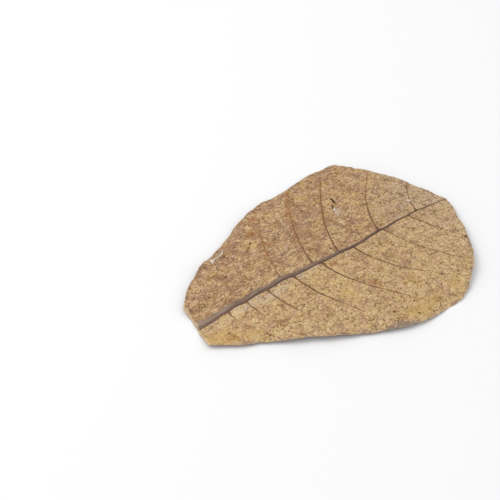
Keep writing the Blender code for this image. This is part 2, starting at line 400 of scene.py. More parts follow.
def new_shape(add: Any, name: str, **sizes: Any) -> Piece:
    """Add one of the editor's plain shapes, with nothing else selected, and name it."""
    bpy.ops.object.select_all(action="DESELECT")
    add(**sizes)
    piece = bpy.context.object
    piece.name = piece.data.name = name
    return piece


def pick(piece: Piece) -> None:
    """Select one piece alone and make it the active one."""
    bpy.ops.object.select_all(action="DESELECT")
    piece.select_set(True)
    bpy.context.view_layer.objects.active = piece


class Tint(Enum):
    """What a soft patch does to the colour of the ribbed face."""

    PALE = "stain_pale"
    GOLD = "stain_gold"
    # Greyish patches: partly mottling, partly painted shade where the near margin turns down.
    GREY = "stain_grey"
    MAUVE = "stain_mauve"
    RUST = "stain_rust"


@dataclass(frozen=True)
class SoftPatch:
    """A soft patch on the blade: its centre, half sizes, turn in degrees and strength."""

    x: float
    y: float
    long: float
    wide: float
    turn: float
    strength: float

    def cover(self, plan: Array) -> Array:
        """How strongly the patch covers each plan point, up to its strength."""
        turn = math.radians(self.turn)
        x, y = np.moveaxis(plan / MM - (self.x, self.y), -1, 0)
        long = (x * math.cos(turn) + y * math.sin(turn)) / self.long
        wide = (y * math.cos(turn) - x * math.sin(turn)) / self.wide
        return self.strength * np.exp(-(long**2 + wide**2))


SOFT_PATCHES = {
    Tint.PALE: (
        SoftPatch(20, -6.5, 22, 3.4, 0, 0.9), SoftPatch(44, -8.5, 14, 4, -4, 0.75), SoftPatch(64, -8, 9, 2.6, 0, 0.7),
        SoftPatch(110, 24.5, 2.8, 2.6, 60, 1.0), SoftPatch(108, 21, 4.5, 3, 70, 0.65),
        SoftPatch(112, 39, 3, 2, 60, 0.6), SoftPatch(34, 33.5, 7, 2, 15, 0.5), SoftPatch(68, 14, 5, 4, 0, 0.6),
        SoftPatch(78, 29, 3.5, 2.5, 30, 0.55), SoftPatch(98, 15, 3, 2.5, 0, 0.55), SoftPatch(142, 43, 4, 3, -40, 0.5),
    ),
    Tint.GOLD: (
        SoftPatch(7, -15, 11, 5.5, -24, 1.2), SoftPatch(20, -22, 9, 4, -28, 0.7), SoftPatch(104, -57, 16, 6, 4, 0.85),
        SoftPatch(129, -54, 6, 4, 30, 0.8), SoftPatch(76, -31, 7, 5, -20, 0.7), SoftPatch(109, -41, 8, 4, -30, 0.5),
        SoftPatch(63, -20, 5, 4, -60, 0.5), SoftPatch(56, 28, 4, 5, 60, 0.6), SoftPatch(95, 22, 6, 4, 50, 0.55),
        SoftPatch(127, 30, 5, 4, 30, 0.6), SoftPatch(102, 46, 5, 5, 0, 0.7), SoftPatch(47, 17, 4, 4, 0, 0.5),
    ),
    # Greyish patches: partly painted shade where the near margin turns down, partly mottling.
    Tint.GREY: (
        SoftPatch(89, -62, 13, 2.8, -18, 1.0), SoftPatch(73, -54.5, 9, 1.6, -26, 0.6),
        SoftPatch(151, 37, 6, 1.8, -55, 0.8), SoftPatch(90, 25, 4, 3, 50, 0.5),
    ),
    Tint.MAUVE: (
        SoftPatch(69.5, -33, 3.5, 2.2, -40, 0.9), SoftPatch(45, 37, 9, 4.5, 25, 0.8),
        SoftPatch(47, 27, 4, 4, 60, 0.6), SoftPatch(119.5, 53, 5.5, 3.6, 50, 0.95),
        SoftPatch(86.5, 27, 3, 5, -15, 0.8), SoftPatch(60, -43.5, 4, 2.6, -30, 0.9),
        SoftPatch(140, 42, 4, 2.4, 40, 0.6), SoftPatch(116.5, -29.5, 4, 3.4, -30, 0.9),
        SoftPatch(105, -35, 3, 2.4, -40, 0.75), SoftPatch(127, -14, 3, 4, 20, 0.75),
        SoftPatch(155, -24, 3.4, 2.4, 20, 0.8), SoftPatch(92, 30, 4, 3, 50, 0.7), SoftPatch(108, 49, 2.2, 4, 0, 0.7),
        SoftPatch(61, 47.5, 6, 2, 25, 0.7), SoftPatch(30, 17, 6, 4, 0, 0.5), SoftPatch(84, 12, 5, 3.4, 30, 0.5),
        SoftPatch(36, 29, 6, 3, 20, 0.5), SoftPatch(27.5, 29.5, 3.5, 1.4, 15, 1.0),
        SoftPatch(82.5, 20, 3, 7, -15, 0.6),
    ),
    Tint.RUST: (
        SoftPatch(62, 23.5, 3, 2.2, 0, 1.0), SoftPatch(60, 36, 5, 4, 30, 0.9), SoftPatch(67, 46, 5, 2.6, 35, 0.85),
        SoftPatch(117.5, 49, 3, 2.2, 50, 0.8), SoftPatch(84.5, 38, 2.4, 5, -30, 0.7),
        SoftPatch(81.5, -10.5, 3.4, 2.2, 0, 0.9), SoftPatch(93, -33, 6, 2, -35, 0.8),
        SoftPatch(32.5, 23.5, 2.4, 1.5, 30, 0.8), SoftPatch(11, -18, 10, 4.5, -28, 0.5),
        SoftPatch(12, -19, 4, 1.6, -28, 0.7), SoftPatch(24, -27.5, 4, 1.4, -28, 0.7),
        SoftPatch(94, 49, 5, 2.4, 45, 0.7),
    ),
}

DARK_DOTS = (  # x, y and radius, in millimetres
    (89.3, -52.2, 0.95), (101, -59.3, 0.9), (103.5, -51.5, 0.8), (90.5, -48, 0.7), (132, -39.5, 0.7),
    (144.5, -36, 0.8), (157.7, -25.2, 0.8), (86.5, -25, 0.7), (55.3, 30.5, 1.0), (94.4, 36, 1.0),
    (11.6, -14.2, 0.9), (12.2, -17.4, 0.7), (39, 32.3, 1.0), (31.2, 18.6, 1.1), (137, 25.8, 0.8),
    (129.3, 53.5, 0.9), (127.5, -45.5, 0.8), (60.5, 36, 0.9), (158, -31, 1.2),
)


@dataclass(frozen=True)
class Slit:
    """A split through the blade: its two ends and its width, in millimetres of the leaf's plan."""

    start: Pair
    end: Pair
    width: float
    seed: float

    DEPTH = 40 * MM
    CORNERS = 22
    RAGGED = 0.3
    RAGS = 3.0  # bumps of its ragged edge over half its length

    def away(self, plan: Array) -> Array:
        """Distance of plan points from the slit's middle line, in metres."""
        start, end = np.array(self.start) * MM, np.array(self.end) * MM
        run = end - start
        share = np.clip(((plan - start) @ run) / (run @ run), 0, 1)
        return np.linalg.norm(plan - start - share[..., None] * run, axis=-1)

    def cutter(self) -> Piece:
        """Make the ragged upright lens that the slit is cut with, over and under the blade."""
        add = bpy.ops.mesh.primitive_cylinder_add
        lens = new_shape(add, "lens", vertices=self.CORNERS, radius=1, depth=self.DEPTH)
        start, end = np.array(self.start) * MM, np.array(self.end) * MM
        middle, half = (start + end) / 2 - PLAN_SHIFT, (end - start) / 2
        side = np.array([-half[1], half[0]]) / np.linalg.norm(half) * self.width * MM / 2
        for vertex in lens.data.vertices:
            corner = Vector((self.RAGS * vertex.co.x, self.RAGS * vertex.co.y, self.seed))
            ragged = 1 + self.RAGGED * noise.noise(corner)
            at = middle + half * vertex.co.x + side * vertex.co.y * ragged
            vertex.co = (*at, vertex.co.z)
        return lens


SLITS = (
    Slit((113.6, 34.8), (113.0, 29.0), 1.3, 2.0),
    Slit((110.4, 28.8), (108.8, 25.4), 0.7, 5.0),
)


def torn_away(plan: Array) -> Array:
    """Distance of plan points from the nearest slit, in metres."""
    return np.min([slit.away(plan) for slit in SLITS], axis=0)


def read_mask(mesh: bpy.types.Mesh, name: str) -> Array:
    """The values of a mask, one for each vertex."""
    values = np.empty(len(mesh.vertices), np.float32)
    mesh.attributes[name].data.foreach_get("value", values)
    return values


@dataclass
class Blade:
    """The whole leaf as one closed mesh: two sheets of a grid, joined around their rim.

    Attributes:
        form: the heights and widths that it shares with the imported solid.
        thickness: of the blade, and of its last millimetre at the margin.
        rows, outer_columns: rows from margin to margin, and columns of each half beside the midrib.
        rib_columns: columns on the midrib and its foot, in its half widths.
        vein_rows: distances from a vein, in half widths, at which rows run beside it.
        vein_spread: that half width, at the midrib and at the margin, as for the next two.
        vein_core, vein_height: half width and height of a vein's sharp ridge.
        vein_swell: share by which these vary.
        vein_flare: how much wider it is at the midrib, and how far that reaches.
        vein_skirt: height and half width of the soft swelling under it.
        rib_fibre, rib_share: height of the midrib's strands, and of all of it as a share of the solid's.
        rib_flare: how much its cut end widens, on the near and on the far side.
        rib_thinning: how much narrower it is near the tip.
        wander, kink: how far points stray, and how far each side vein pulls the midrib.
        lip, curl: how far a slit's lips and the margin are lifted.
    """

    form: Form = field(default_factory=Form)
    thickness: Pair = (0.42 * MM, 0.24 * MM)
    rows: int = 338
    outer_columns: int = 59
    rib_columns: tuple[float, ...] = (0.12, 0.25, 0.38, 0.5, 0.62, 0.73, 0.83, 0.91, 0.97, 1.04, 1.15, 1.3)
    vein_rows: tuple[float, ...] = (0.18, 0.38, 0.62, 1.0, 1.6)
    vein_spread: Pair = (1.0 * MM, 0.6 * MM)
    vein_core: Pair = (0.42 * MM, 0.26 * MM)
    vein_height: Pair = (0.5 * MM, 0.14 * MM)
    vein_swell: float = 0.3
    vein_flare: Pair = (1.3, 1.6 * MM)
    vein_skirt: Pair = (0.13 * MM, 1.5 * MM)
    rib_fibre: float = 0.13
    rib_share: float = 0.74
    rib_flare: Pair = (0.28, 0.65)
    rib_thinning: float = 0.25
    wander: float = 0.4 * MM
    kink: float = 0.3 * MM
    lip: float = 0.25 * MM
    curl: float = 0.35 * MM

    LAST_ROW = 0.9995
    BESIDE_RIB = 0.02  # the value of `out` at which a vein's rows are spaced on the midrib
    RIB_SIDES = ((0.1, 5, 4.1), (0.05, 1.7, 6.3))
    FLARE_RUN = 5  # millimetres of the midrib over which its cut end widens
    FIBRES = ((1, 1, 2.5), (0.6, 1 / 2.3, 8.5))
    FIBRE_COUNT = (14, 3.2)  # bumps along the midrib and over half its width
    STRAY_X = ((1, 12, 2.9), (0.6, 4.5, 7.9))
    STRAY_Y = ((1, 12, 4.7), (0.6, 4.5, 9.7))
    MARGIN_RAGS = ((0.4, 2.6, 3.1), (0.28, 1.1, 7.7), (0.55, 9, 5.5))
    VEIN_DENT = (0.3, 2.2)  # depth and half width of the margin's dent where a vein ends
    CUT_JAGS = ((0.18, 0.8, 2.2), (0.3, 4, 9.1))
    WRINKLES = ((0.28, 21, 1.3), (0.18, 9, 4.4), (0.09, 2.2, 8.8))
    PUCKERS = ((0.15, 5, 6.6),)
    RUNG_GAP = 3.4 * MM
    RUNG_HEIGHT = 0.1
    KEPT_OFF = 0.1 * MM  # what the blade keeps from the surface, away from its spots

    def beside(self) -> Array:
        """The places of a vein's rows, from one side of it to the other."""
        return np.r_[-np.array(self.vein_rows[::-1]), 0, self.vein_rows]

    def grid(self) -> Array:
        """Where each row crosses the midrib: eleven for each vein, and others to fill."""
        marks = [0.0, self.LAST_ROW]
        for half in (FAR, NEAR):
            for start in half.starts:
                step = half.vein_gap(start, self.BESIDE_RIB, self.vein_spread[0])
                marks += list(start + self.beside() * step)
        marks = np.array(sorted(marks))
        gaps = np.diff(marks)
        fill = np.zeros(len(gaps), int)
        for _ in range(self.rows - len(marks)):
            fill[np.argmax(gaps / (fill + 1))] += 1
        rows = [np.linspace(a, b, n + 1, endpoint=False) for a, b, n in zip(marks, marks[1:], fill)]
        return np.concatenate([*rows, [self.LAST_ROW]])

    def crossings(self, half: Half, rows: Array) -> tuple[Array, Array]:
        """The values of `along` and `out` at every crossing of one half.

        Args:
            half: the half to cover.
            rows: where each row crosses the midrib.

        Returns:
            Two arrays of rows by columns, the first column being the middle of the midrib.
        """
        rib = len(self.rib_columns) + 1
        step = np.linspace(0, 1, self.outer_columns + 1)[1:]
        spread = 0.9 * step + 0.1 * np.sin(np.pi / 2 * step)
        guess = np.r_[np.zeros(rib), spread]
        marks, tables = [0.0], [np.zeros(len(guess))]
        for start in half.starts:
            at_rib = half.vein_gap(start, self.BESIDE_RIB, self.vein_spread[0])
            away = half.vein_gap(start, guess, between(self.vein_spread, guess))
            away[:rib] = at_rib
            for offset in self.beside():
                marks.append(start + offset * at_rib)
                tables.append(start + offset * away)
        marks.append(self.LAST_ROW)
        tables.append(np.full(len(guess), self.LAST_ROW))
        marks, tables = np.array(marks), np.array(tables)
        number = np.interp(marks, rows, np.arange(len(rows)))
        along = np.empty((len(rows), len(guess)))
        for column, out in enumerate(guess):
            kept = np.interp(rows, marks, tables[:, column])
            even = np.interp(np.arange(len(rows)), number, tables[:, column])
            along[:, column] = kept + (even - kept) * ease(out / 0.4)
        length = half.length(along[:, 0])[:, None]
        shares = np.r_[0, self.rib_columns]
        rib_out = shares * self.form.half_width(along[:, :1]) / length
        rib_out = np.minimum(rib_out, shares / shares[-1] * self.form.rib_most_out)
        foot = rib_out[:, -1:]
        return along, np.concatenate([rib_out, foot + (1 - foot) * spread], axis=1)

    def margin_reach(self, half: Half, along: Array) -> Array:
        """How far the margin stands out of its smooth curve, in metres: ragged, nicked, scalloped."""
        share = half.margin_share(along)
        run = share * half.margin.length
        line = paired(run, np.full_like(run, half.sign))
        reach = bumps(line, self.MARGIN_RAGS) * MM
        x = half.margin.read(share)[..., 0] / MM
        for nick in half.nicks:
            reach -= nick.depth * MM * bell(x - nick.at, nick.width)
        for vein in half.veins:
            reach -= self.VEIN_DENT[0] * MM * bell(x - vein.ends, self.VEIN_DENT[1])
        return reach * ease(along / 0.03) * ease((1 - along) / 0.01)

    def ridges(self, half: Half, along: Array, out: Array) -> dict[str, Array]:
        """Midrib and side veins of one half, as heights and as masks for the finish.

        Args:
            half: the half that the points are on.
            along: their values of `along`.
            out: their values of `out`.

        Returns:
            Named arrays: `ridge` and `groove` in metres, and masks from 0 to 1.
        """
        form = self.form
        from_rib = out * half.length(along)
        side_line = paired(along * LEAF_LENGTH * MM, np.full_like(along, half.sign))
        flare = between(self.rib_flare, 0.5 + 0.5 * half.sign)
        width = form.half_width(along) * (1 + bumps(side_line, self.RIB_SIDES))
        width *= 1 + flare * bell(along * LEAF_LENGTH, self.FLARE_RUN)
        width *= 1 - self.rib_thinning * ease((along - 0.5) / 0.4)
        across = from_rib / width
        body = 1 - ease((across - 0.2) / 0.92)
        fibre_at = paired(along, across * half.sign) * self.FIBRE_COUNT * MM
        strands = 1 + self.rib_fibre * bumps(fibre_at, self.FIBRES)
        rib = self.rib_share * form.rib(along) * body * strands
        unit = half.vein_gap(along, out, 1.0)
        steps = np.abs(along[..., None] - half.starts) / unit[..., None]
        nearest, away = steps.argmin(axis=-1), steps.min(axis=-1)
        dark, reach, halo = (
            np.array([getattr(vein, name) for vein in half.veins])[nearest]
            for name in ("dark", "reach", "halo")
        )
        beyond = np.maximum(from_rib - width, 0)
        beat = paired(from_rib, (nearest * 9 + half.sign * 99) * MM)
        swell = 1 + self.vein_swell * rough(beat, 4 * MM, 1.9)
        wider, over = self.vein_flare
        core = between(self.vein_core, out) * (1 + wider * np.exp(-beyond / over)) * swell
        near = ease(1 - (out - 0.9) / 0.1)
        line = bell(away, core)
        skirt = self.vein_skirt[0] * bell(away, self.vein_skirt[1])
        vein = (between(self.vein_height, out) * swell * line + skirt) * near
        fade = 1 - ease((out - 0.35 * reach) / (0.9 * reach))
        return {
            "ridge": np.maximum(rib, vein * (1 - body)) + 0.35 * vein * body,
            "groove": 0.12 * MM * line * near + 0.2 * MM * body,
            "vein": bell(away, core * 1.15) * dark * (0.22 + 0.78 * fade),
            "halo": halo * bell(away, 2.1 * MM) * ease((out - 0.14) / 0.26) * (1 - 0.4 * out),
            "rib": ease((1.1 - across) / 0.22),
            "rib_across": np.clip(across, 0, 1.5) * half.sign,
            "flank": bell(beyond, 1.7 * MM) * bell(along - 0.36, 0.4) * (0.8 - 0.2 * half.sign),
            "axil": bell(away, 1.3 * MM) * bell(beyond, 1.6 * MM) * dark,
        }

    def wandered(self, half: Half, along: Array, out: Array) -> Array:
        """Plan points that stray a little from the smooth curves, with the midrib's slight kinks."""
        plan = half.place(along, out)
        stray = paired(bumps(plan, self.STRAY_X), bumps(plan, self.STRAY_Y))
        plan = plan + self.wander * stray
        plan[..., 0] += half.bowed(along, out)
        x = half.ends(along)[0][..., 0]
        kink = sum(
            side.sign * bell(x - vein.leaves * MM, 4 * MM) for side in (FAR, NEAR) for vein in side.veins
        )
        plan[..., 1] += self.kink * kink * bell(out * half.length(along), 9 * MM)
        reach = self.margin_reach(half, along)
        plan += half.outward(along, out) * (reach * ease((out - 0.72) / 0.28))[..., None]
        jag = bumps(plan * (0, 1), self.CUT_JAGS) * MM
        plan[..., 0] += jag * ease(1 - along * LEAF_LENGTH / 2.5)
        return plan

    def lift(self, half: Half, along: Array, out: Array, plan: Array) -> Array:
        """How far wrinkles, the margin's curl and the slits' lips lift the blade, in metres."""
        from_rib = out * half.length(along)
        sag = half.between_veins(along)
        wave = bumps(plan, self.WRINKLES) + bumps(plan, self.PUCKERS) * (0.4 + 0.6 * sag)
        fold = paired(along * LEAF_LENGTH * MM, from_rib)
        rung = np.sin(np.pi * (from_rib / self.RUNG_GAP + 0.8 * rough(fold, 12 * MM, 3.7)))
        wave += self.RUNG_HEIGHT * (1 - np.abs(rung)) ** 1.5 * ease(sag / 0.4)
        blade = ease((from_rib / self.form.half_width(along) - 1) / 2)
        lift = wave * MM * blade * ease(out / 0.15)
        lift += self.curl * rough(fold * (1, 0), 7 * MM, 5.9 * half.sign) * ease((out - 0.86) / 0.14)
        return lift + self.lip * bell(torn_away(plan) - 0.5 * MM, 0.8 * MM)

    def half_sheet(self, half: Half, rows: Array) -> dict[str, Array]:
        """Plan, heights and masks of one half, as rows by columns from the midrib outwards."""
        along, out = self.crossings(half, rows)
        plan = self.wandered(half, along, out)
        fields = self.ridges(half, along, out)
        free = 1 - self.form.rest(plan)
        from_rib = out * half.length(along)
        edge = (1 - out) * half.length(along)
        low = self.form.underside(half, along, out)
        low += (self.lift(half, along, out, plan) + self.KEPT_OFF) * free
        low = np.maximum(low, self.KEPT_OFF * free)
        rolled = 0.1 * MM * bell(edge - 0.7 * MM, 0.5 * MM)
        thick = between(self.thickness[::-1], ease(edge / (1.2 * MM)))
        high = low + thick + fields.pop("ridge") + rolled
        low = low + fields.pop("groove") * free
        soft_patches = {
            tint.value: np.max([marking.cover(plan) for marking in patches], axis=0)
            for tint, patches in SOFT_PATCHES.items()
        }
        return {
            "x": plan[..., 0], "y": plan[..., 1], "low": low, "high": high,
            "out": out, "edge": edge / MM, "torn": bell(torn_away(plan), 0.9 * MM),
            "far": 0.5 + 0.5 * half.sign * ease(out / 0.05), "grown_u": along * LEAF_LENGTH,
            "grown_v": half.sign * from_rib / MM, **fields, **soft_patches,
        }

    def sheets(self) -> dict[str, Array]:
        """Every field over the whole leaf, from the near margin to the far one."""
        rows = self.grid()
        near, far = self.half_sheet(NEAR, rows), self.half_sheet(FAR, rows)
        return {name: np.concatenate([near[name][:, :0:-1], far[name]], axis=1) for name in far}

    def build(self) -> Piece:
        """Make the blade, cut its slits and write its masks.

        Returns:
            The finished object, at the origin.
        """
        fields = self.sheets()
        blade = self.slab(*fields["x"].shape)
        masks = self.shape(blade.data, fields)
        for slit in SLITS:
            self.cut(blade, slit)
        self.mend_masks(blade.data, masks)
        self.grown_map(blade.data)
        smooth(blade, 50)
        return blade

    @staticmethod
    def slab(rows: int, columns: int) -> Piece:
        """A closed slab, 1 long, wide and thick, with a grid of vertices on both its faces."""
        cells = {"x_subdivisions": rows - 1, "y_subdivisions": columns - 1}
        slab = new_shape(bpy.ops.mesh.primitive_grid_add, "leaf_blade", size=1, calc_uvs=False, **cells)
        bpy.ops.object.mode_set(mode="EDIT")
        bpy.ops.mesh.select_all(action="SELECT")
        bpy.ops.mesh.extrude_region_move(TRANSFORM_OT_translate={"value": (0, 0, 1)})
        bpy.ops.mesh.select_all(action="SELECT")
        bpy.ops.mesh.normals_make_consistent(inside=False)
        bpy.ops.object.mode_set(mode="OBJECT")
        return slab

    @staticmethod
    def shape(mesh: bpy.types.Mesh, fields: dict[str, Array]) -> tuple[str, ...]:
        """Move the slab's vertices to their places on the leaf, and write the masks.

        Args:
            mesh: the slab's mesh.
            fields: places, heights and masks, as rows by columns.

        Returns:
            The masks' names.
        """
        rows, columns = fields["x"].shape
        at = np.empty(len(mesh.vertices) * 3)
        mesh.vertices.foreach_get("co", at)
        at = at.reshape(-1, 3)
        row = np.rint((at[:, 0] + 0.5) * (rows - 1)).astype(int)
        column = np.rint((at[:, 1] + 0.5) * (columns - 1)).astype(int)
        upper = at[:, 2] > 0.5
        masks = {name: values[row, column] for name, values in fields.items()}
        x, y, low, high = (masks.pop(name) for name in ("x", "y", "low", "high"))
        place = np.stack([x - PLAN_SHIFT[0], y - PLAN_SHIFT[1], np.where(upper, high, low)], axis=-1)
        mesh.vertices.foreach_set("co", place.ravel())
        masks |= {"ribbed": upper, "grown": np.ones(len(upper))}
        for name, values in masks.items():
            layer = mesh.attributes.new(name, "FLOAT", "POINT")
            layer.data.foreach_set("value", values.astype(np.float32))
        mesh.update()
        return tuple(masks)

    @staticmethod
    def cut(blade: Piece, slit: Slit) -> None:
        """Cut one slit through the blade."""
        lens = slit.cutter()
        pick(blade)
        knife = blade.modifiers.new("slit", "BOOLEAN")
        knife.operation, knife.solver, knife.object = "DIFFERENCE", "EXACT", lens
        bpy.ops.object.modifier_apply(modifier=knife.name)
        shape = lens.data
        bpy.data.objects.remove(lens)
        bpy.data.meshes.remove(shape)

    @staticmethod
    def mend_masks(mesh: bpy.types.Mesh, names: tuple[str, ...]) -> None:
        """Give each point that a cut has made the masks of the grown point nearest to it."""
        grown = read_mask(mesh, "grown")
        tree = KDTree(len(mesh.vertices))
        for vertex in mesh.vertices:
            if grown[vertex.index] > 0.5:
                tree.insert(vertex.co, vertex.index)
        tree.balance()
        made = np.flatnonzero(grown <= 0.5)
        nearest = [tree.find(mesh.vertices[int(index)].co)[1] for index in made]
        for name in names:
            values = read_mask(mesh, name)
            values[made] = values[nearest]
            mesh.attributes[name].data.foreach_set("value", values)
        mesh.attributes.remove(mesh.attributes["grown"])

    @staticmethod
    def grown_map(mesh: bpy.types.Mesh) -> None:
        """Write the UV map that follows the leaf's growth, in millimetres, from its two masks."""
        along, across = read_mask(mesh, "grown_u"), read_mask(mesh, "grown_v")
        corner = np.empty(len(mesh.loops), np.int32)
        mesh.loops.foreach_get("vertex_index", corner)
        for old in list(mesh.uv_layers):
            mesh.uv_layers.remove(old)
        layer = mesh.uv_layers.new(name="grown_map")
        layer.data.foreach_set("uv", paired(along[corner], across[corner]).ravel())
        for name in ("grown_u", "grown_v"):
            mesh.attributes.remove(mesh.attributes[name])


def smooth(piece: Piece, degrees: float) -> None:
    """Shade a piece smooth, with edges sharper than these degrees kept."""
    pick(piece)
    bpy.ops.object.shade_smooth_by_angle(angle=math.radians(degrees))


@dataclass(frozen=True)
class Shred:
    """A thin strip of the leaf's dry skin that lies on the blade, partly lifted.

    Attributes:
        name: its object's name.
        line: its middle line in the leaf's plan, in millimetres.
        widths: its width in millimetres, evenly spaced along the line.
        lifts: how far its middle stands off the blade there, in millimetres.
        tilt: how much one side is higher than the other, in millimetres.
        seed: shifts its ragged edge.
    """

    name: str
    line: Pairs
    widths: tuple[float, ...]
    lifts: tuple[float, ...]
    tilt: float = 0.0
    seed: float = 0.0

    STEPS = 36
    ACROSS = 6
    THICKNESS = 0.1 * MM
    CLEAR = 0.06 * MM
    AHEAD = 0.01  # share of the line over which its direction is read, to each side
    RAGGED = 0.35
    CRUMPLED = 0.12
    LOOK_FROM = 0.1  # height in metres from which the blade under it is looked for

    def build(self, ground: BVHTree) -> Piece:
        """Make the strip over the blade's upper face.

        Args:
            ground: the blade, for finding its height under each point.

        Returns:
            The finished object, at the origin.
        """
        cells = {"x_subdivisions": self.STEPS, "y_subdivisions": self.ACROSS}
        strip = new_shape(bpy.ops.mesh.primitive_grid_add, self.name, size=2, calc_uvs=False, **cells)
        path = Path(self.line)
        every = np.linspace(0, 1, len(self.widths))
        for vertex in strip.data.vertices:
            share, side = (vertex.co.x + 1) / 2, vertex.co.y
            ahead = path.read(min(share + self.AHEAD, 1)) - path.read(max(share - self.AHEAD, 0))
            ahead /= np.linalg.norm(ahead)
            ragged = 1 + self.RAGGED * noise.noise(Vector((share * 9, side, self.seed)))
            wide = float(np.interp(share, every, self.widths)) * MM / 2 * ragged
            at = path.read(share) + np.array([-ahead[1], ahead[0]]) * side * wide - PLAN_SHIFT
            lift = float(np.interp(share, every, self.lifts)) + self.tilt * side * 0.5
            lift += self.CRUMPLED * noise.noise(Vector((share * 6, side * 2, self.seed + 4)))
            hit = ground.ray_cast(Vector((*at, self.LOOK_FROM)), Vector((0, 0, -1)))[0]
            floor = hit.z if hit else 0.0
            vertex.co = (*at, floor + self.CLEAR + max(lift, 0) * MM)
        wall = strip.modifiers.new("skin", "SOLIDIFY")
        wall.thickness, wall.offset = self.THICKNESS, 1.0
        bpy.ops.object.modifier_apply(modifier=wall.name)
        smooth(strip, 60)
        return strip


SHREDS = (
    Shred(
        "torn_sliver", ((29.6, 34.6), (31.4, 33.4), (33.6, 32.9), (36.6, 33.3), (39.2, 34.6), (41.2, 36.6)),
        (0.2, 0.6, 0.8, 0.6, 0.8, 0.7, 0.2), (0.1, 0.35, 0.3, 0.45, 0.7, 0.8, 0.4), 0.5, 1.0,
    ),
    Shred(
        "torn_flap", ((32.0, 33.4), (31.5, 32.5), (30.8, 31.2), (30.4, 30.4)),
        (3.8, 2.8, 1.5, 0.4), (0.3, 0.25, 0.15, 0.05), 0.2, 2.0,
    ),
    Shred(
        "scuff_flake", ((109.9, 26.4), (108.8, 24.6), (109.4, 23.2)),
        (0.5, 1.5, 0.9, 0.2), (0.2, 0.4, 0.3, 0.1), 0.4, 3.0,
    ),
    Shred(
        "chaff_a", ((149.0, 9.6), (149.4, 7.9), (149.6, 6.9)),
        (0.3, 1.1, 0.9, 0.2), (0.1, 0.4, 0.4, 0.2), 0.4, 4.0,
    ),
    Shred("chaff_b", ((150.8, 11.3), (151.2, 10.6)), (0.2, 0.7, 0.2), (0.1, 0.3, 0.1), 0.2, 5.0),
    Shred("chaff_c", ((135.0, 0.9), (135.5, 0.2)), (0.2, 0.8, 0.3), (0.1, 0.35, 0.2), 0.3, 6.0),
    Shred("chaff_d", ((140.6, 27.6), (140.0, 26.4)), (0.2, 0.8, 0.2), (0.1, 0.3, 0.1), 0.3, 7.0),
    Shred("chaff_e", ((118.9, -31.4), (118.2, -32.4)), (0.2, 0.8, 0.3), (0.1, 0.3, 0.1), 0.3, 8.0),
)


def srgb(red: int, green: int, blue: int) -> Colour:
    """A screen colour from 0 to 255 as the linear one that shaders take."""
    parts = [value / 255 for value in (red, green, blue)]
    return tuple(p / 12.92 if p <= 0.04045 else ((p + 0.055) / 1.055) ** 2.4 for p in parts)


class Signal:
    """One output socket that reads as a number in Python expressions."""

    def __init__(self, graph: "Graph", socket: bpy.types.NodeSocket) -> None:
        """Hold the graph that the socket belongs to, and the socket."""
        self.graph = graph
        self.socket = socket

    def __add__(self, other: Any) -> "Signal":
        """Sum."""
        return self.graph.math("ADD", self, other)

    def __sub__(self, other: Any) -> "Signal":
        """Difference."""
        return self.graph.math("SUBTRACT", self, other)

    def __rsub__(self, other: Any) -> "Signal":
        """Difference, the other way round."""
        return self.graph.math("SUBTRACT", other, self)

    def __mul__(self, other: Any) -> "Signal":
        """Product."""
        return self.graph.math("MULTIPLY", self, other)

    __radd__ = __add__
    __rmul__ = __mul__

    def sway(self, times: Any) -> "Signal":
        """How far a noise is from its middle value, times a factor."""
        return (self - 0.5) * times

    def clip(self) -> "Signal":
        """The value kept between 0 and 1."""
        return self.graph.math("ADD", self, 0.0, clamp=True)

    def most(self, other: Any) -> "Signal":
        """The larger of this value and another."""
        return self.graph.math("MAXIMUM", self, other)

    def rise(self, low: float, high: float) -> "Signal":
        """0 at low, 1 at high and a smooth rise between, or a fall where low is over high."""
        settings = {"interpolation_type": "SMOOTHSTEP"}
        first, last = (low, high) if low < high else (high, low)
        values = {"Value": self, "From Min": first, "From Max": last}
        values |= {"To Min": 0.0, "To Max": 1.0} if low < high else {"To Min": 1.0, "To Max": 0.0}
        return self.graph.node("ShaderNodeMapRange", settings, values)


Layer = tuple[Any, Signal]  # a colour and its factor


